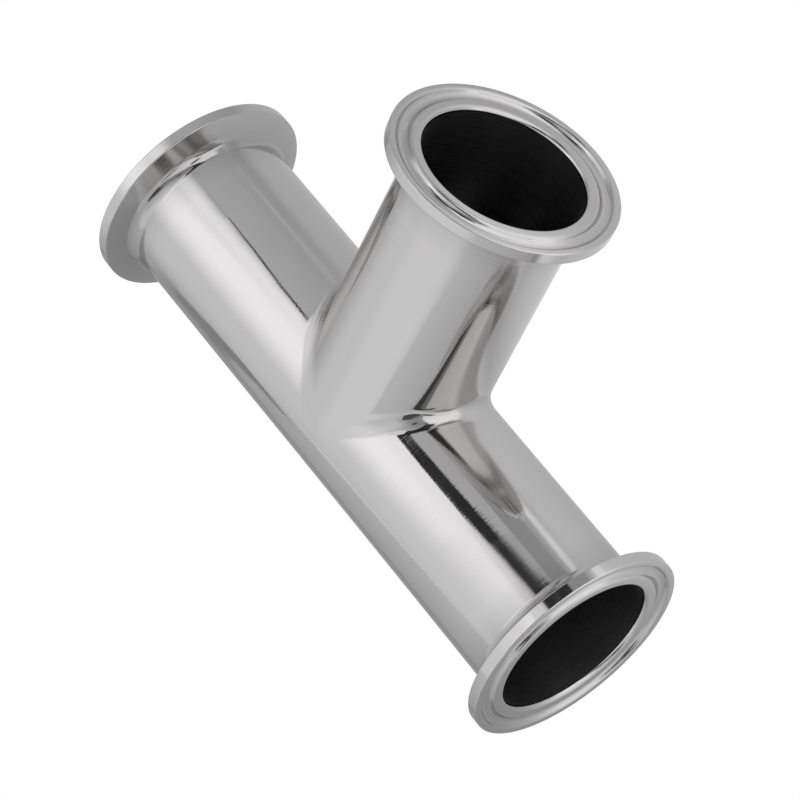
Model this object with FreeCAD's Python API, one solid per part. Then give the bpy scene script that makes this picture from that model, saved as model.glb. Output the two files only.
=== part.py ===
import FreeCAD, Part
import math
import os

# Sanitary clamp tee, in millimetres.
# The run lies along X, the branch points along +Y and +Z is up.
# The origin is where the two centrelines cross.
# The tee lies on its three ferrule rims, so the floor is one rim radius below the origin.

Vector = FreeCAD.Vector

# Tube of the tee and of the ferrule necks
tube_diameter = 38.1
tube_wall = 1.2

# Centre of the tee to the sealing faces
run_centre_to_face = 70.0
branch_centre_to_face = 70.0

# Crotch between run and branch, as radii on the outside of the wall.
# The blend opens up from the two crotches to the front and back, where run and branch are level.
crotch_radius = 3.0
crotch_front_radius = 9.0
# A drawn branch comes out this much smaller in radius than the run it is drawn from
branch_draw_in = 0.05

# Turned clamp ferrule, butt welded to each end of the tee
ferrule_length = 21.5
rim_diameter = 50.5
rim_edge_width = 2.7
rim_edge_radius = 0.3
clamp_bevel_degrees = 20.0
neck_radius = 3.0
bore_edge_radius = 1.1

# Gasket groove in the sealing face, measured between its sharp corners
groove_diameter = 44.2
groove_width = 3.3
groove_depth = 1.3
groove_side_degrees = 30.0
groove_lip_radius = 0.9

# Worked out from the sizes above
tube_radius = tube_diameter / 2
bore_radius = tube_radius - tube_wall
rim_radius = rim_diameter / 2
run_half_length = run_centre_to_face - ferrule_length
branch_length = branch_centre_to_face - ferrule_length

SMALLEST_EDGE = 1e-6


def rounded_face(corners):
    """A flat face from a closed ring of (corner, radius), with each corner rounded by its radius."""
    starts = []
    ends = []
    edges = []
    for index, (corner, radius) in enumerate(corners):
        to_last = (corners[index - 1][0] - corner).normalize()
        to_next = (corners[(index + 1) % len(corners)][0] - corner).normalize()
        half_angle = to_last.getAngle(to_next) / 2
        tangent_length = radius / math.tan(half_angle)
        start = corner + to_last * tangent_length
        end = corner + to_next * tangent_length
        if radius > 0:
            inward = (to_last + to_next).normalize()
            middle = corner + inward * (radius / math.sin(half_angle) - radius)
            edges.append(Part.Arc(start, middle, end).toShape())
        starts.append(start)
        ends.append(end)
    for index, end in enumerate(ends):
        next_start = starts[(index + 1) % len(starts)]
        if end.distanceToPoint(next_start) > SMALLEST_EDGE:
            edges.append(Part.makeLine(end, next_start))
    return Part.Face(Part.Wire(Part.__sortEdges__(edges)))


def turned_ferrule():
    """A clamp ferrule about the X axis: sealing face at x = 0, weld end at x = ferrule_length."""
    groove_radius = groove_diameter / 2
    groove_mouth = groove_width / 2
    groove_floor = groove_mouth - groove_depth * math.tan(math.radians(groove_side_degrees))
    # The floor's two roundings meet in the middle and leave no flat
    half_flank = math.radians(90 - groove_side_degrees) / 2
    groove_floor_radius = groove_floor / math.tan(half_flank)

    bevel_rise = rim_radius - tube_radius
    bevel_end = rim_edge_width + bevel_rise * math.tan(math.radians(clamp_bevel_degrees))

    corners = [
        (Vector(0, 0, bore_radius), bore_edge_radius),
        (Vector(0, 0, groove_radius - groove_mouth), groove_lip_radius),
        (Vector(groove_depth, 0, groove_radius - groove_floor), groove_floor_radius),
        (Vector(groove_depth, 0, groove_radius + groove_floor), groove_floor_radius),
        (Vector(0, 0, groove_radius + groove_mouth), groove_lip_radius),
        (Vector(0, 0, rim_radius), rim_edge_radius),
        (Vector(rim_edge_width, 0, rim_radius), rim_edge_radius),
        (Vector(bevel_end, 0, tube_radius), neck_radius),
        (Vector(ferrule_length, 0, tube_radius), 0),
        (Vector(ferrule_length, 0, bore_radius), 0),
    ]
    profile = rounded_face(corners)
    return profile.revolve(Vector(0, 0, 0), Vector(1, 0, 0), 360)


def ferrule_at(face_centre, into_tee):
    """The ferrule with its sealing face centred at face_centre and its neck pointing along into_tee."""
    ferrule = turned_ferrule()
    ferrule.Placement = FreeCAD.Placement(face_centre, FreeCAD.Rotation(Vector(1, 0, 0), into_tee))
    return ferrule


def crossing_tubes(run_radius, branch_radius, overrun):
    """Run and branch as one solid, each end past the weld by overrun."""
    run_reach = run_half_length + overrun
    run = Part.makeCylinder(run_radius, 2 * run_reach, Vector(-run_reach, 0, 0), Vector(1, 0, 0))
    branch = Part.makeCylinder(branch_radius, branch_length + overrun, Vector(0, 0, 0), Vector(0, 1, 0))
    return run.fuse(branch).removeSplitter()


def leaves_the_middle(edge):
    """Whether the edge climbs in all three directions, as only the saddle line does."""
    box = edge.BoundBox
    return min(box.XLength, box.YLength, box.ZLength) > tube_radius / 2


def round_the_crotch(tubes, side_radius, front_radius):
    """Blend the saddle line where the branch leaves the run: side_radius in the two crotches,
    front_radius at the front and back. One quarter is rounded and mirrored twice."""
    reach = 2 * (run_half_length + branch_length)
    quarter = tubes.common(Part.makeBox(reach, 2 * reach, reach, Vector(0, -reach, 0)))
    saddle = [edge for edge in quarter.Edges if leaves_the_middle(edge)][0]
    starts_in_front = saddle.Vertexes[0].Z > saddle.Vertexes[-1].Z
    first, last = (front_radius, side_radius) if starts_in_front else (side_radius, front_radius)
    quarter = quarter.makeFillet(first, last, [saddle])
    half = quarter.fuse(quarter.mirror(Vector(0, 0, 0), Vector(0, 0, 1)))
    return half.fuse(half.mirror(Vector(0, 0, 0), Vector(1, 0, 0))).removeSplitter()


def drawn_tee():
    """The tee body: one wall of even thickness, with the branch drawn out of the run."""
    outside = crossing_tubes(tube_radius, tube_radius - branch_draw_in, 0)
    outside = round_the_crotch(outside, crotch_radius, crotch_front_radius)
    inside = crossing_tubes(bore_radius, bore_radius - branch_draw_in, tube_diameter)
    inside = round_the_crotch(inside, crotch_radius + tube_wall, crotch_front_radius + tube_wall)
    return outside.cut(inside).Solids[0]


def build_parts():
    return {
        "tee_body": drawn_tee(),
        "run_ferrule_left": ferrule_at(Vector(-run_centre_to_face, 0, 0), Vector(1, 0, 0)),
        "run_ferrule_right": ferrule_at(Vector(run_centre_to_face, 0, 0), Vector(-1, 0, 0)),
        "branch_ferrule": ferrule_at(Vector(0, branch_centre_to_face, 0), Vector(0, -1, 0)),
    }


os.makedirs("parts", exist_ok=True)
for name, shape in build_parts().items():
    shape.exportStep("parts/" + name + ".step")
    print(name, "valid", shape.isValid(), "solids", len(shape.Solids), "volume", round(shape.Volume, 1))
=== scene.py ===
import math

import bmesh
import bpy
from mathutils import Matrix, Vector


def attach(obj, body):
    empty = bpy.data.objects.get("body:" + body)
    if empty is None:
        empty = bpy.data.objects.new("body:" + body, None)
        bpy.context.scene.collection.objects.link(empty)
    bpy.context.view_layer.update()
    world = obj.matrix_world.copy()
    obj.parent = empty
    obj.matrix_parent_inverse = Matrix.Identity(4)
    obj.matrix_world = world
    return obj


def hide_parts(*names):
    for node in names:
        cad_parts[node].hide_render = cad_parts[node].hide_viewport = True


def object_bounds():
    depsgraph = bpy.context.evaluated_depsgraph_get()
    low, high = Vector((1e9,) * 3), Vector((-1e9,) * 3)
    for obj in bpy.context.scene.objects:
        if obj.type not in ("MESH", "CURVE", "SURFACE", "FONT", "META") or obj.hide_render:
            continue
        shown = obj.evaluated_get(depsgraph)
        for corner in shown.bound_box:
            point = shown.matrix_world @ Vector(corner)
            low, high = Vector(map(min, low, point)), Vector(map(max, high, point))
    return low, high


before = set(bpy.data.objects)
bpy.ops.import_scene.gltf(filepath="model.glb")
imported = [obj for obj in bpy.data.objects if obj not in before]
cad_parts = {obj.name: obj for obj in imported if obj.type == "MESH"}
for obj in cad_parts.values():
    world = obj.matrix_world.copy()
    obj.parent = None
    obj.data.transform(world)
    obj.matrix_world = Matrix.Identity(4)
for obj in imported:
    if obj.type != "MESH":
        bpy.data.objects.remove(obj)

cad_low, cad_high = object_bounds()

MM = 0.001

# Sizes of the tee in millimetres, as it is made
TUBE_RADIUS = 19.05
TUBE_WALL = 1.2
BORE_RADIUS = TUBE_RADIUS - TUBE_WALL
CENTRE_TO_FACE = 70.0
FERRULE_LENGTH = 21.5
WELD_FROM_CENTRE = CENTRE_TO_FACE - FERRULE_LENGTH

RIM_RADIUS = 25.25
RIM_EDGE_WIDTH = 2.7
RIM_EDGE_RADIUS = 0.3
CLAMP_BEVEL = math.radians(20)
NECK_RADIUS = 3.0
BORE_EDGE_RADIUS = 1.1

GROOVE_RADIUS = 22.1
GROOVE_WIDTH = 3.3
GROOVE_DEPTH = 1.3
GROOVE_SIDE = math.radians(30)
GROOVE_LIP_RADIUS = 0.9

# Reach of the buffed blend between run and branch at the crotch
CROTCH_BLEND = 5.0
# Its reach where the two tubes are level, at the front and back of the crossing
LEVEL_BLEND = 0.15
# Behind the run's centreline the branch leaves the blend by this times the square of the distance
BRANCH_FADE = 0.1

# Facets round a tube
ROUND = 240
# Facets along each leg of the tee, on the outer and the inner skin. They crowd towards the saddle line
OUTER_COLUMNS = 48
INNER_COLUMNS = 20
CROWDING = 1.5
# The most that a rounded edge turns in one facet
ARC_STEP = math.radians(7)

# Tolerances in millimetres: the step of a measured slope, points that are one, and points on a weld
SLOPE_STEP = 0.002
SAME_POINT = 0.002
ON_WELD = 0.01

# Places of the two finishes in each piece's list of materials
OUTSIDE, IN_BORE = 0, 1

X = Vector((1, 0, 0))
Y = Vector((0, 1, 0))
Z = Vector((0, 0, 1))


def linear(hex_colour):
    """An sRGB hex colour as linear RGBA."""
    channels = [int(hex_colour[i:i + 2], 16) / 255 for i in (1, 3, 5)]
    return [c / 12.92 if c <= 0.04045 else ((c + 0.055) / 1.055) ** 2.4 for c in channels] + [1.0]


def add_node(tree, kind, settings=None, **inputs):
    """Adds a node with its settings. An input is a value, or the output socket that feeds it.

    Inputs go by name, or as _0, _1 and so on by number where their names repeat. In a Map Range _1 and _2
    are the range that _0 comes from, and _3 and _4 the range that it goes to, which is 0 to 1 if not given.
    """
    node = tree.nodes.new(kind)
    for name, value in (settings or {}).items():
        setattr(node, name, value)
    for name, value in inputs.items():
        key = int(name[1:]) if name[1:].isdigit() else name.replace("_", " ")
        if isinstance(value, bpy.types.NodeSocket):
            tree.links.new(value, node.inputs[key])
        else:
            node.inputs[key].default_value = value
    return node


def new_material(name):
    material = bpy.data.materials.new(name)
    material.use_nodes = True
    material.node_tree.nodes.clear()
    return material, material.node_tree


# Shape of the drawn tee


def skin_distance(point, radius, blend):
    """Distance in front of the tee's skin, for tubes of one radius that blend softly where they meet."""
    x, y, z = point
    off_run, off_branch = math.hypot(y, z), math.hypot(x, z)
    run = off_run - radius
    branch = off_branch - radius
    if y < 0:
        branch += BRANCH_FADE * y * y
    # 0 at the crotch, 1 where the two tubes are level. The tiny number only keeps the axes from a division by 0
    level = z * z / max(off_run * off_branch, 1e-9)
    reach = math.hypot(blend * math.sqrt(max(0.0, 1 - level) / 2), LEVEL_BLEND)
    overlap = max(reach - abs(run - branch), 0)
    return min(run, branch) - overlap * overlap / (4 * reach)


def skin_slope(point, radius, blend):
    """Slope of the distance at a point, which on the skin points straight out."""
    slope = []
    for axis in range(3):
        ahead, behind = point.copy(), point.copy()
        ahead[axis] += SLOPE_STEP
        behind[axis] -= SLOPE_STEP
        slope.append((skin_distance(ahead, radius, blend) - skin_distance(behind, radius, blend))
                     / (2 * SLOPE_STEP))
    return Vector(slope)


def onto_skin(point, radius, blend, rounds=3):
    """Moves a point that is near the skin onto it."""
    for _ in range(rounds):
        slope = skin_slope(point, radius, blend)
        point = point - slope * (skin_distance(point, radius, blend) / slope.length_squared)
    return point


def tee_skin(mesh, radius, blend, columns, finish):
    """One skin of the tee: the run and the branch as grids that meet on the saddle line between them."""
    def grid(place):
        rows = []
        for j in range(ROUND):
            angle = 2 * math.pi * j / ROUND
            rows.append([mesh.verts.new(place(angle, (i / columns) ** CROWDING))
                         for i in range(columns + 1)])
        for j in range(ROUND):
            for i in range(columns):
                a, b = rows[j], rows[(j + 1) % ROUND]
                face = mesh.faces.new((a[i], a[i + 1], b[i + 1], b[i]))
                face.smooth = True
                face.material_index = finish

    def along_run(side):
        def place(angle, share):
            start = max(0.0, radius * math.cos(angle))
            point = Vector((side * (start + (WELD_FROM_CENTRE - start) * share),
                            radius * math.cos(angle), radius * math.sin(angle)))
            near_branch = point.y > -blend and share < 1
            return onto_skin(point, radius, blend) if near_branch else point
        return place

    def along_branch(angle, share):
        start = radius * abs(math.cos(angle))
        point = Vector((radius * math.cos(angle), start + (WELD_FROM_CENTRE - start) * share,
                        radius * math.sin(angle)))
        return onto_skin(point, radius, blend) if share < 1 else point

    grid(along_run(1))
    grid(along_run(-1))
    grid(along_branch)


def drawn_tee():
    """The tee body: its outer and inner skin, joined by the end of the wall at each of the three welds."""
    mesh = bmesh.new()
    tee_skin(mesh, TUBE_RADIUS, CROTCH_BLEND, OUTER_COLUMNS, OUTSIDE)
    tee_skin(mesh, BORE_RADIUS, CROTCH_BLEND + TUBE_WALL, INNER_COLUMNS, IN_BORE)
    bmesh.ops.remove_doubles(mesh, verts=mesh.verts, dist=SAME_POINT)
    open_edges = [edge for edge in mesh.edges if edge.is_boundary]
    for axis, end in ((0, 1), (0, -1), (1, 1)):
        weld = [edge for edge in open_edges
                if all(abs(vertex.co[axis] - end * WELD_FROM_CENTRE) < ON_WELD for vertex in edge.verts)]
        bmesh.ops.bridge_loops(mesh, edges=weld)
    return mesh


def rounded_profile(corners):
    """A profile through (along, out, radius) corners, each rounded by its radius.

    Returns its points with their outward normals.
    """
    points = [Vector(corner[:2]) for corner in corners]
    profile = []
    for index, (corner, (_, _, radius)) in enumerate(zip(points, corners)):
        before = (corner - points[index - 1]).normalized() if index > 0 else None
        after = (points[index + 1] - corner).normalized() if index + 1 < len(points) else None
        if before is None or after is None:
            heading = before or after
            profile.append((corner, Vector((heading.y, -heading.x))))
            continue
        turn = math.atan2(before.cross(after), before.dot(after))
        tangent = radius * math.tan(abs(turn) / 2)
        start = corner - before * tangent
        side = math.copysign(1, turn)
        centre = start + Vector((-before.y, before.x)) * side * radius
        steps = max(1, math.ceil(abs(turn) / ARC_STEP))
        for k in range(steps + 1):
            angle = turn * k / steps
            heading = Matrix.Rotation(angle, 2) @ before
            place = centre + Vector((heading.y, -heading.x)) * side * radius
            if (place - profile[-1][0]).length > SAME_POINT:
                profile.append((place, Vector((heading.y, -heading.x))))
    return profile


def ferrule_profile():
    """From the weld over neck, bevel, rim, face, groove and bore edge back to the weld."""
    bevel_end = RIM_EDGE_WIDTH + (RIM_RADIUS - TUBE_RADIUS) * math.tan(CLAMP_BEVEL)
    mouth = GROOVE_WIDTH / 2
    floor_half = mouth - GROOVE_DEPTH * math.tan(GROOVE_SIDE)
    floor_radius = floor_half / math.tan((math.pi / 2 - GROOVE_SIDE) / 2)
    return rounded_profile([
        (FERRULE_LENGTH, TUBE_RADIUS, 0),
        (bevel_end, TUBE_RADIUS, NECK_RADIUS),
        (RIM_EDGE_WIDTH, RIM_RADIUS, RIM_EDGE_RADIUS),
        (0, RIM_RADIUS, RIM_EDGE_RADIUS),
        (0, GROOVE_RADIUS + mouth, GROOVE_LIP_RADIUS),
        (GROOVE_DEPTH, GROOVE_RADIUS + floor_half, floor_radius),
        (GROOVE_DEPTH, GROOVE_RADIUS - floor_half, floor_radius),
        (0, GROOVE_RADIUS - mouth, GROOVE_LIP_RADIUS),
        (0, BORE_RADIUS, BORE_EDGE_RADIUS),
        (FERRULE_LENGTH, BORE_RADIUS, 0),
    ])


def turned_ferrule(profile, face_centre, into_tee, across):
    """The profile turned about the tube's axis, from the sealing face inwards.

    Returns the mesh with its true normals.
    """
    mesh = bmesh.new()
    rows = []
    normals = []
    for j in range(ROUND):
        angle = 2 * math.pi * j / ROUND
        radial = across * math.cos(angle) + Z * math.sin(angle)
        rows.append([mesh.verts.new(face_centre + into_tee * place.x + radial * place.y)
                     for place, _ in profile])
        normals += [into_tee * normal.x + radial * normal.y for _, normal in profile]
    for j in range(ROUND):
        a, b = rows[j], rows[(j + 1) % ROUND]
        for i in range(len(profile)):
            k = (i + 1) % len(profile)
            face = mesh.faces.new((a[i], a[k], b[k], b[i]))
            face.smooth = True
            # The last face, at k = 0, is the end of the wall at the weld
            in_bore = max(profile[i][0].y, profile[k][0].y) < BORE_RADIUS + SAME_POINT and k > 0
            face.material_index = IN_BORE if in_bore else OUTSIDE
    return mesh, normals


def finish_piece(name, mesh, normals, materials):
    """Makes a piece from a mesh in millimetres, shaded by its true normals."""
    bmesh.ops.recalc_face_normals(mesh, faces=mesh.faces)
    data = bpy.data.meshes.new(name)
    mesh.to_mesh(data)
    mesh.free()
    data.normals_split_custom_set_from_vertices(normals)
    data.transform(Matrix.Scale(MM, 4))
    for material in materials:
        data.materials.append(material)
    piece = bpy.data.objects.new(name, data)
    bpy.context.scene.collection.objects.link(piece)
    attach(piece, "root")
    return piece


def tee_normal(point):
    """The true normal at a point of the tee body, on whichever skin it lies."""
    outside = skin_distance(point, TUBE_RADIUS - TUBE_WALL / 2, CROTCH_BLEND) > 0
    if outside:
        return skin_slope(point, TUBE_RADIUS, CROTCH_BLEND).normalized()
    return -skin_slope(point, BORE_RADIUS, CROTCH_BLEND + TUBE_WALL).normalized()


# Finishes
#
# The marks of the belt, the lathe and the hone are finer than the picture shows, about 0.1 mm apart.
# They are drawn coarser, so that they still break up the edges of what the steel reflects.
# Noise lies mostly between 0.3 and 0.7, so the ranges that spread it end there or a little inside.
BUFF_SPACING = 0.45 * MM
BUFF_LENGTH = 14 * MM
BUFF_DEPTH = 0.005 * MM
TURNING_SPACING = 0.4 * MM
TURNING_DEPTH = 0.004 * MM
HONE_SPACING = 0.35 * MM
# Half of the width over which the marks turn from run to branch, at the saddle line
MARKS_TURN = 1.5 * MM

# The polisher's hand leaves soft waves of this length and depth
WAVE_LENGTH = 12 * MM
WAVE_DEPTH = 0.03 * MM
# Size of the patches that the wheel left a little smoother or duller
CLOUD_SIZE = 9 * MM
# Finishing by hand adds this to the roughness
HAND_ROUGHNESS = 0.12
# Painted shade in the corner behind a rim, from the centre of the tee: where it begins, where it is full and
# where it ends
FILM_BEGINS, FILM_FULL, FILM_ENDS = 57 * MM, 65 * MM, 68 * MM

STEEL = linear("#C6C6C4")
# The steel darkened by painted shade, for the corner behind each rim
FILMED_STEEL = linear("#B2B2B0")
# The bore's colour is darkened as painted shade inside the tube. Its lighter streaks are honing marks
BORE_STEEL = linear("#787878")
HONED_STREAK = linear("#969696")


def along(tree, lengths):
    """The place on the piece, counted along X, Y and Z in steps of the given lengths."""
    place = add_node(tree, "ShaderNodeTexCoord").outputs["Object"]
    scaled = add_node(tree, "ShaderNodeVectorMath", {"operation": "DIVIDE"}, _0=place, _1=lengths)
    return scaled.outputs[0]


def marked_skin(tree, marks, depth, strength=1.0):
    """The skin's direction, bumped by the fine marks over the soft waves."""
    waves = add_node(tree, "ShaderNodeTexNoise", Vector=along(tree, [WAVE_LENGTH] * 3), Scale=1.0,
                     Detail=1.0)
    under = add_node(tree, "ShaderNodeBump", Strength=1.0, Distance=WAVE_DEPTH, Height=waves.outputs[0])
    over = add_node(tree, "ShaderNodeBump", Strength=strength, Distance=depth, Height=marks,
                    Normal=under.outputs[0])
    return over.outputs[0]


def clouded_roughness(tree, smooth, dull):
    """Roughness that drifts between smooth and dull in soft patches."""
    clouds = add_node(tree, "ShaderNodeTexNoise", Vector=along(tree, [CLOUD_SIZE] * 3), Scale=1.0,
                      Detail=3.0)
    roughness = add_node(tree, "ShaderNodeMapRange", _0=clouds.outputs[0], _1=0.3, _2=0.7, _3=smooth,
                         _4=dull)
    return roughness.outputs[0]


def place_on_tee(tree):
    """How far right of the middle a place is, how far past the saddle line onto the branch, and how high."""
    place = add_node(tree, "ShaderNodeTexCoord").outputs["Object"]
    place = add_node(tree, "ShaderNodeSeparateXYZ", Vector=place)
    from_middle = add_node(tree, "ShaderNodeMath", {"operation": "ABSOLUTE"}, _0=place.outputs["X"])
    past_saddle = add_node(tree, "ShaderNodeMath", {"operation": "SUBTRACT"}, _0=place.outputs["Y"],
                           _1=from_middle.outputs[0])
    return place.outputs["X"], past_saddle.outputs[0], place.outputs["Z"]


def marks_round_the_tube(tree, past_saddle, spacing, length):
    """Fine marks that run round each tube, and turn from run to branch at the saddle line."""
    round_run = add_node(tree, "ShaderNodeTexNoise", Vector=along(tree, [spacing, length, length]),
                         Scale=1.0, Detail=2.0, Roughness=0.6)
    round_branch = add_node(tree, "ShaderNodeTexNoise", Vector=along(tree, [length, spacing, length]),
                            Scale=1.0, Detail=2.0, Roughness=0.6)
    on_branch = add_node(tree, "ShaderNodeMapRange", _0=past_saddle, _1=-MARKS_TURN, _2=MARKS_TURN)
    marks = add_node(tree, "ShaderNodeMix", Factor=on_branch.outputs[0], A=round_run.outputs[0],
                     B=round_branch.outputs[0])
    return marks.outputs[0]


def buffed_steel():
    """Stainless tube, ground and buffed bright on a belt: a mirror with fine marks round the tube."""
    material, tree = new_material("buffed_steel")
    across, past_saddle, height = place_on_tee(tree)
    marks = marks_round_the_tube(tree, past_saddle, BUFF_SPACING, BUFF_LENGTH)
    # The belt bit deepest into the run right of the middle, and hardly into the branch
    on_run = add_node(tree, "ShaderNodeMapRange", _0=across, _1=-35 * MM, _2=10 * MM, _3=0.3, _4=1.0)
    bite = add_node(tree, "ShaderNodeMapRange", _0=past_saddle, _1=0.0, _2=8 * MM, _3=on_run.outputs[0],
                    _4=0.25)
    # The left side of the branch and the bottoms of the two crotches were finished by hand. They are duller
    left = add_node(tree, "ShaderNodeMapRange", _0=across, _1=-10 * MM, _2=-15 * MM)
    above_run = add_node(tree, "ShaderNodeMapRange", _0=past_saddle, _1=-6 * MM, _2=1 * MM)
    left_side = add_node(tree, "ShaderNodeMath", {"operation": "MULTIPLY"}, _0=left.outputs[0],
                         _1=above_run.outputs[0])
    from_saddle = add_node(tree, "ShaderNodeMath", {"operation": "ABSOLUTE"}, _0=past_saddle)
    near_saddle = add_node(tree, "ShaderNodeMapRange", _0=from_saddle.outputs[0], _1=30 * MM, _2=10 * MM)
    low = add_node(tree, "ShaderNodeMapRange", _0=height, _1=11 * MM, _2=6 * MM)
    crotch = add_node(tree, "ShaderNodeMath", {"operation": "MULTIPLY"}, _0=near_saddle.outputs[0],
                      _1=low.outputs[0])
    by_hand = add_node(tree, "ShaderNodeMath", {"operation": "MAXIMUM"}, _0=left_side.outputs[0],
                       _1=crotch.outputs[0])
    roughness = add_node(tree, "ShaderNodeMath", {"operation": "MULTIPLY_ADD"}, _0=by_hand.outputs[0],
                         _1=HAND_ROUGHNESS, _2=clouded_roughness(tree, 0.03, 0.07))
    # The hand took the belt's marks away
    remaining = add_node(tree, "ShaderNodeMapRange", _0=by_hand.outputs[0], _3=bite.outputs[0], _4=0.0)
    shader = add_node(tree, "ShaderNodeBsdfPrincipled", Base_Color=STEEL, Metallic=1.0,
                      Roughness=roughness.outputs[0],
                      Normal=marked_skin(tree, marks, BUFF_DEPTH, remaining.outputs[0]))
    add_node(tree, "ShaderNodeOutputMaterial", Surface=shader.outputs[0])
    return material


def turned_steel(name, axis, smooth, dull):
    """Stainless ferrule, turned about the axis and polished: bright, softened by rings of fine tool marks."""
    material, tree = new_material(name)
    place = along(tree, [TURNING_SPACING] * 3)
    along_axis = add_node(tree, "ShaderNodeVectorMath", {"operation": "DOT_PRODUCT"}, _0=place,
                          _1=list(axis))
    off_axis = add_node(tree, "ShaderNodeVectorMath", {"operation": "MULTIPLY"}, _0=place,
                        _1=[1 - component for component in axis])
    radius = add_node(tree, "ShaderNodeVectorMath", {"operation": "LENGTH"}, _0=off_axis.outputs[0])
    ring = add_node(tree, "ShaderNodeCombineXYZ", X=along_axis.outputs["Value"], Y=radius.outputs["Value"])
    # The marks of the polishing mop fade in and out along each ring
    height = add_node(tree, "ShaderNodeSeparateXYZ", Vector=along(tree, [BUFF_LENGTH] * 3))
    rings = add_node(tree, "ShaderNodeTexNoise", {"noise_dimensions": "4D"}, Vector=ring.outputs[0],
                     W=height.outputs["Z"], Scale=1.0, Detail=2.0, Roughness=0.6)
    # Painted shade: the corner behind the rim is darkened, in streaks round the tube
    from_centre = add_node(tree, "ShaderNodeMath", {"operation": "ABSOLUTE"}, _0=along_axis.outputs["Value"])
    into_corner = add_node(tree, "ShaderNodeMapRange", _0=from_centre.outputs[0],
                           _1=FILM_BEGINS / TURNING_SPACING, _2=FILM_FULL / TURNING_SPACING)
    up_bevel = add_node(tree, "ShaderNodeMapRange", _0=from_centre.outputs[0],
                        _1=FILM_FULL / TURNING_SPACING, _2=FILM_ENDS / TURNING_SPACING, _3=1.0, _4=0.0)
    corner = add_node(tree, "ShaderNodeMath", {"operation": "MULTIPLY"}, _0=into_corner.outputs[0],
                      _1=up_bevel.outputs[0])
    streaks = add_node(tree, "ShaderNodeMapRange", _0=rings.outputs[0], _1=0.35, _2=0.65, _3=0.75, _4=1.0)
    film = add_node(tree, "ShaderNodeMath", {"operation": "MULTIPLY"}, _0=corner.outputs[0],
                    _1=streaks.outputs[0])
    colour = add_node(tree, "ShaderNodeMix", {"data_type": "RGBA"}, _0=film.outputs[0], _6=STEEL,
                      _7=FILMED_STEEL)
    shader = add_node(tree, "ShaderNodeBsdfPrincipled", Base_Color=colour.outputs[2], Metallic=1.0,
                      Roughness=clouded_roughness(tree, smooth, dull),
                      Normal=marked_skin(tree, rings.outputs[0], TURNING_DEPTH))
    add_node(tree, "ShaderNodeOutputMaterial", Surface=shader.outputs[0])
    return material


def dull_bore_steel():
    """The bore, honed, with its colour darkened as painted shade inside the tube. It gives back little of the
    room, in faint streaks round the tube.
    """
    material, tree = new_material("dull_bore_steel")
    _, past_saddle, _ = place_on_tee(tree)
    streaks = marks_round_the_tube(tree, past_saddle, HONE_SPACING, BUFF_LENGTH)
    shade = add_node(tree, "ShaderNodeMapRange", _0=streaks, _1=0.35, _2=0.65)
    # Painted shade: a dark bore colour, lighter along the honing streaks
    colour = add_node(tree, "ShaderNodeMix", {"data_type": "RGBA"}, _0=shade.outputs[0], _6=BORE_STEEL,
                      _7=HONED_STREAK)
    roughness = add_node(tree, "ShaderNodeMapRange", _0=streaks, _1=0.3, _2=0.7, _3=0.42, _4=0.3)
    shader = add_node(tree, "ShaderNodeBsdfPrincipled", Base_Color=colour.outputs[2], Metallic=1.0,
                      Roughness=roughness.outputs[0])
    add_node(tree, "ShaderNodeOutputMaterial", Surface=shader.outputs[0])
    return material


tube_finish = buffed_steel()
bore_finish = dull_bore_steel()

tee_mesh = drawn_tee()
tee_normals = [tee_normal(vertex.co) for vertex in tee_mesh.verts]
tee = finish_piece("tee_body_buffed", tee_mesh, tee_normals, [tube_finish, bore_finish])
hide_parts("tee_body")

profile = ferrule_profile()
# The roughness of each ferrule goes from its smoothest patches to its dullest. The right one is the brightest
for node_name, outward, across, finish in (
        ("run_ferrule_left", -X, Y, turned_steel("turned_steel_left", X, 0.08, 0.13)),
        ("run_ferrule_right", X, Y, turned_steel("turned_steel_right", X, 0.06, 0.12)),
        ("branch_ferrule", Y, X, turned_steel("turned_steel_branch", Y, 0.08, 0.14))):
    turned, normals = turned_ferrule(profile, outward * CENTRE_TO_FACE, -outward, across)
    piece = finish_piece(node_name + "_turned", turned, normals, [finish, bore_finish])
    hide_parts(node_name)


# Studio
#
# A tent of soft cloth round a white floor. The steel is a mirror, so its look is the tent's look.
# Directions are degrees of azimuth from +X towards +Y, and of elevation. Brightness 1 is white.
# Distances are metres from the tee, and a nearer cloth covers the ones behind it.
TENT_AT = 6.0
WALL_AT = 5.8
FOOT_AT = 5.7
EDGE_AT = 5.6
GAP_AT = 5.5
# The tent and its walls reach down to this elevation, behind the edge of the board
TENT_FOOT = -12
BOARD_RADIUS = 0.4
BOARD_FACETS = 72
FLOOR_HALF = 8.0
# A patch reaches this far along its own direction, so that it doesn't show on the other side of the tent
PATCH_REACH = 0.9

CLOTH_COLOUR = linear("#FEFCFF")
WHITE = linear("#FFFFFF")
# Brightness of the room beyond the floor, and of the dark that shows through the tent's gaps
ROOM_BRIGHTNESS = 0.87
DARK_GAP = 0.04

floor_level = cad_low.z


def direction(azimuth, elevation):
    a, e = math.radians(azimuth), math.radians(elevation)
    return Vector((math.cos(a) * math.cos(e), math.sin(a) * math.cos(e), math.sin(e)))


def soft_patch(tree, vector, around, place, turn, half_sizes, softness, brightness):
    """Lays an oval patch with soft edges over the brightness around it."""
    local = add_node(tree, "ShaderNodeMapping", {"vector_type": "TEXTURE"}, Vector=vector, Location=place,
                     Rotation=turn, Scale=half_sizes)
    distance = add_node(tree, "ShaderNodeVectorMath", {"operation": "LENGTH"}, _0=local.outputs[0])
    edge = add_node(tree, "ShaderNodeMapRange", {"interpolation_type": "SMOOTHSTEP"},
                    _0=distance.outputs["Value"], _1=1 - softness, _2=1 + softness, _3=brightness, _4=around)
    return edge.outputs[0]


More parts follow.
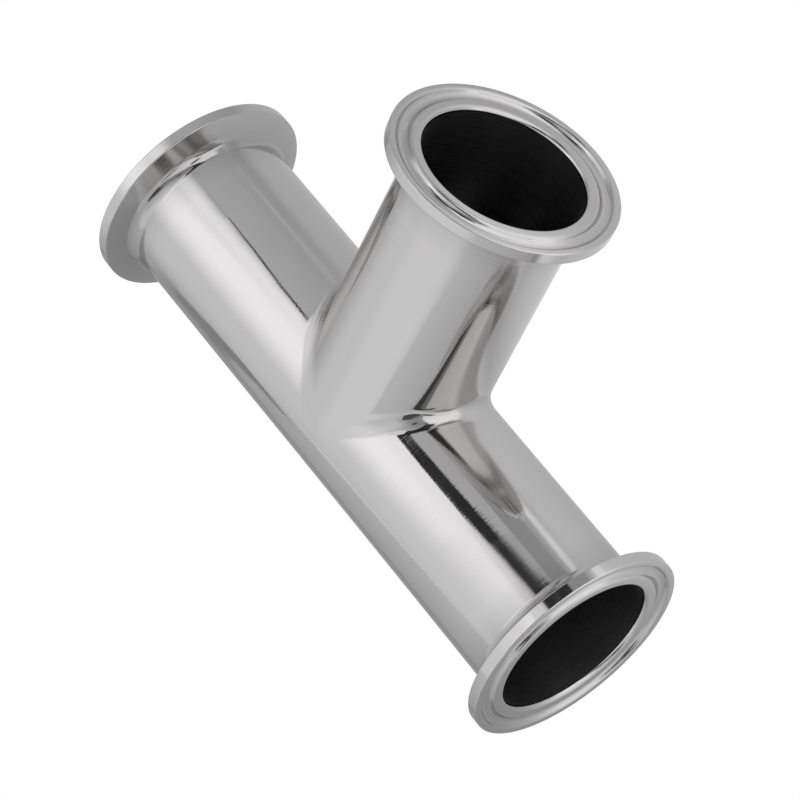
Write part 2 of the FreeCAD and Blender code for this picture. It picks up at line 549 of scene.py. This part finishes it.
def glowing_cloth(name, brightness_of, colour=CLOTH_COLOUR):
    """Cloth that gives off light. brightness_of(tree) gives a number, or the socket that feeds it."""
    material, tree = new_material(name)
    emission = add_node(tree, "ShaderNodeEmission", Color=colour, Strength=brightness_of(tree))
    add_node(tree, "ShaderNodeOutputMaterial", Surface=emission.outputs[0])
    material.cycles.emission_sampling = "NONE"
    return material


# Patches of the tent: azimuth, elevation, half width, half height, tilt, softness, brightness
TENT_BASE = 0.56
TENT_PATCHES = [
    (1, 65, 35, 73, 40, 0.05, 1.10),
    (170, 58, 37, 46, 2, 0.84, 1.13),
    (168, 61, 36, 5, 10, 0.38, 1.43),
    (58, 2, 77, 19, 5, 0.24, 1.21),
    (51, 45, 55, 20, -10, 0.90, 0.38),
    (103, 13, 17, 31, -46, 0.67, 0.46),
    (156, -6, 36, 17, 67, 0.33, 0.49),
    (353, 21, 40, 18, -17, 0.23, 0.62),
    (-7, 43, 11, 48, 40, 0.90, 0.53),
    (130, 48, 7, 13, 1, 0.84, 1.36),
    (226, 40, 16, 26, 12, 0.81, 0.90),
    (324, 55, 15, 54, -22, 0.89, 0.82),
    (115, 49, 7, 10, -16, 0.09, 1.04),
    (10, 44, 8, 13, 0, 0.60, 0.31),
    (62.5, 47.4, 5.2, 3.3, -14, 0.25, 0.08),
    (274, 57, 27, 15, 0, 0.35, 0.99),
]

# Patches of the board under the tee: x, y, half length, half width in millimetres, tilt, softness, brightness
BOARD_BASE = 0.41
BOARD_PATCHES = [
    (35, 335, 193, 406, 56, 0.68, 1.52),
    (-86, 327, 200, 273, -14, 0.48, 0.54),
    (88, 166, 41, 127, -61, 0.25, 1.03),
    (80, 139, 43, 180, 23, 0.80, 1.25),
    (6, -38, 65, 38, 25, 0.11, 0.79),
    (24, 31, 78, 21, 10, 0.98, 0.71),
    (20, 52, 42, 24, 0, 0.70, 0.80),
    (-52, 32, 46, 24, 0, 0.60, 0.65),
    (-80, 107, 29, 5, 0, 0.70, 0.74),
]


def outward_from_tee(tree):
    """The direction from the tee to a place on a cloth."""
    position = add_node(tree, "ShaderNodeNewGeometry").outputs["Position"]
    return add_node(tree, "ShaderNodeVectorMath", {"operation": "NORMALIZE"}, _0=position).outputs[0]


def tent_brightness(tree):
    outward = outward_from_tee(tree)
    brightness = TENT_BASE
    for azimuth, elevation, half_width, half_height, tilt, softness, patch in TENT_PATCHES:
        middle = direction(azimuth, elevation)
        level = direction(azimuth + 90, 0)
        upright = Matrix((level, middle.cross(level), middle)).transposed()
        axes = upright @ Matrix.Rotation(math.radians(tilt), 3, "Z")
        half_sizes = [math.sin(math.radians(half_width)), math.sin(math.radians(half_height)), PATCH_REACH]
        brightness = soft_patch(tree, outward, brightness, middle, axes.to_euler(), half_sizes,
                                softness, patch)
    return brightness


def even(brightness):
    """The same brightness all over a cloth."""
    return lambda tree: brightness


def graded(towards, far, near, dark, bright):
    """Brightness that climbs towards a direction, from dark to bright as its cosine goes from far to near."""
    def brightness_of(tree):
        cosine = add_node(tree, "ShaderNodeVectorMath", {"operation": "DOT_PRODUCT"},
                          _0=outward_from_tee(tree), _1=list(towards))
        ramp = add_node(tree, "ShaderNodeMapRange", _0=cosine.outputs["Value"], _1=far, _2=near, _3=dark,
                        _4=bright)
        return ramp.outputs[0]
    return brightness_of


def board_brightness(tree):
    position = add_node(tree, "ShaderNodeNewGeometry").outputs["Position"]
    brightness = BOARD_BASE
    for x, y, half_length, half_width, tilt, softness, patch in BOARD_PATCHES:
        place = [x * MM, y * MM, floor_level]
        brightness = soft_patch(tree, position, brightness, place, [0, 0, math.radians(tilt)],
                                [half_length * MM, half_width * MM, 1], softness, patch)
    return brightness


def add_stage(name, points, faces, material):
    mesh = bpy.data.meshes.new(name)
    mesh.from_pydata(points, [], faces)
    mesh.materials.append(material)
    stage = bpy.data.objects.new(name, mesh)
    bpy.context.scene.collection.objects.link(stage)
    return stage


def hang(name, points, faces, brightness_of):
    """Adds a cloth that the steel reflects and the camera doesn't see."""
    cloth = add_stage(name, points, faces, glowing_cloth(name + "_cloth", brightness_of))
    cloth.visible_camera = False


def tent(columns=72, rows=26):
    """The dome of cloth round the stage."""
    points = []
    faces = []
    for j in range(rows + 1):
        elevation = TENT_FOOT + (90 - TENT_FOOT) * j / rows
        for i in range(columns):
            points.append(direction(360 * i / columns, elevation) * TENT_AT)
            if j < rows:
                k = j * columns + i
                right = j * columns + (i + 1) % columns
                faces.append((k, right, right + columns, k + columns))
    hang("tent", points, faces, tent_brightness)


def curtain(name, top_line, distance, brightness_of, foot=TENT_FOOT, rows=4):
    """A cloth that hangs from a line of (azimuth, elevation) points down to the elevation foot."""
    points = [direction(azimuth, foot + (top - foot) * k / rows) * distance
              for azimuth, top in top_line for k in range(rows + 1)]
    faces = [(i, i + rows + 1, i + rows + 2, i + 1)
             for j in range(len(top_line) - 1) for i in range(j * (rows + 1), j * (rows + 1) + rows)]
    hang(name, points, faces, brightness_of)


def cut_cloth(name, outline, distance, brightness_of, around=Vector()):
    """A cloth cut along (azimuth, elevation) points, at a distance from the place that it is hung around."""
    points = [around + direction(azimuth, elevation) * distance for azimuth, elevation in outline]
    hang(name, points, [tuple(range(len(points)))], brightness_of)


tent()
curtain("left_wall", [(109, 24), (114.5, 30), (118, 34), (121.5, 38), (125.5, 42)], WALL_AT,
        graded(Z, -0.2, 0.65, 0.55, 0.66))
curtain("left_wall_foot", [(107, 14.6), (115.6, 14.6)], FOOT_AT, even(0.41))
curtain("right_wall", [
    (240.5, 42), (262, 43), (272, 44), (290, 45), (300, 44.5), (306.5, 42), (310.4, 40.2), (318, 38.5),
    (330, 38), (345, 37)], WALL_AT, graded(Z, -0.2, 0.65, 0.48, 0.77))
# The light that comes in at the front, below the opening that the camera looks through
curtain("front_light", [
    (-34, 24), (-15, 27), (-6, 29), (3, 29.5), (9, 31), (15, 33), (21, 35), (27, 36.8), (39, 37.4), (48, 37),
    (54, 36), (60, 34.3), (66, 31.5), (72, 30), (78, 27), (84, 24.6), (90, 21.8), (96, 19), (99, 17.3),
    (102, 15.3)], WALL_AT, graded(direction(70, 10), 0.26, 1.0, 0.78, 1.26))
# The dark room through the gaps of the tent, left and right of the camera
cut_cloth("left_gap", [
    (62, 33.6), (66, 32.4), (72, 30.4), (75, 29), (78, 27.2), (81, 25.6), (84, 25), (87, 23.8), (90, 22),
    (93, 20.4), (96, 19.2), (99, 17.5), (102, 15.5), (105, 14), (109, 13), (110.5, 14), (111.8, 18), (113, 22),
    (114.2, 24.5), (115.2, 26), (116, 28), (117.4, 30), (118.6, 31), (120.4, 32), (121.6, 33.6), (122.5, 36),
    (123.4, 38), (124.2, 39.6), (124.7, 39.6), (124.6, 36), (125, 33), (125.3, 30), (126, 30), (126, 42),
    (125.6, 44.4), (123.5, 44.4), (122, 42.6), (120.4, 41.6), (118.6, 39.6), (117, 38.8), (115.4, 40.6),
    (112, 41.6), (107, 42), (106.5, 38), (105, 35.5), (99, 33.4), (96, 32.4), (93, 31.6), (88, 30.6), (81, 31),
    (76, 31.4), (72, 32.6), (66, 34.2)], GAP_AT, even(DARK_GAP))
cut_cloth("right_gap", [
    (-20, 31), (-16, 28.5), (-12, 26.8), (-5, 27.6), (-2, 29.6), (0, 30.6), (2, 33), (3, 37), (4.5, 40.5),
    (8, 42.5), (10.5, 45), (12.5, 48), (13.5, 51), (11, 54), (7, 54.6), (3, 54.6), (0, 52.2), (-4, 51.2),
    (-8, 49.5), (-11, 47.5), (-14, 44.5), (-18, 43), (-20.5, 38)], GAP_AT, even(0.1))
# A small dark card near the tee, beside the camera. The left ferrule's bevel and neck reflect it
cut_cloth("dark_card", [(84, 17), (98, 14), (101, 24), (97, 31), (88, 31), (84, 25)], 0.155, even(DARK_GAP),
          Vector((0.025, 0.015, 0.011)))
# Another such card far out over the right ferrule, for the second dark block on that bevel
cut_cloth("far_card", [(-2, 18), (-1, 20.5), (5, 20.5), (10, 18.5), (14, 15.5), (15, 12), (10, 12), (4, 15)],
          0.25, even(DARK_GAP), Vector((-0.052, 0.011, 0.015)))
# The room through the gap behind the back cloth
curtain("back_gap", [(239.9, 20), (241.7, 20)], FOOT_AT, even(0.34))
# The turned edge of the right wall catches the light
curtain("wall_edge", [(239.9, 40), (240.7, 40)], EDGE_AT, even(1.0), foot=27)

world = bpy.data.worlds.new("room")
world.use_nodes = True
background = world.node_tree.nodes["Background"]
background.inputs["Color"].default_value = WHITE
background.inputs["Strength"].default_value = ROOM_BRIGHTNESS
bpy.context.scene.world = world

# The board that the steel reflects. The floor is white to the camera alone
board_edge = [direction(360 * i / BOARD_FACETS, 0) * BOARD_RADIUS for i in range(BOARD_FACETS)]
hang("board", [(point.x, point.y, floor_level) for point in board_edge], [tuple(range(BOARD_FACETS))],
     board_brightness)

floor_points = [(x * FLOOR_HALF, y * FLOOR_HALF, floor_level)
                for x, y in ((-1, -1), (1, -1), (1, 1), (-1, 1))]
floor = add_stage("floor", floor_points, [(0, 1, 2, 3)], glowing_cloth("white_floor", even(1.0), WHITE))
floor.visible_glossy = False

# Camera, in metres, fitted to the outlines in the photograph. Its focal length is in pixels of the picture
CAMERA_PLACE = Vector((0.33737, 0.47787, 0.50260))
CAMERA_FORWARD = Vector((-0.4360154, -0.6154483, -0.65659269))
CAMERA_UP = Vector((-0.69044279, 0.69672772, -0.19457452))
FOCAL_LENGTH = 3642.7
PICTURE_WIDTH = 800

camera_right = CAMERA_FORWARD.cross(CAMERA_UP)
camera_data = bpy.data.cameras.new("camera")
camera_data.lens = FOCAL_LENGTH / PICTURE_WIDTH * camera_data.sensor_width
camera = bpy.data.objects.new("camera", camera_data)
bpy.context.scene.collection.objects.link(camera)
camera.matrix_world = (Matrix.Translation(CAMERA_PLACE)
                       @ Matrix((camera_right, CAMERA_UP, -CAMERA_FORWARD)).transposed().to_4x4())
bpy.context.scene.camera = camera

bpy.context.scene.view_settings.view_transform = "Standard"
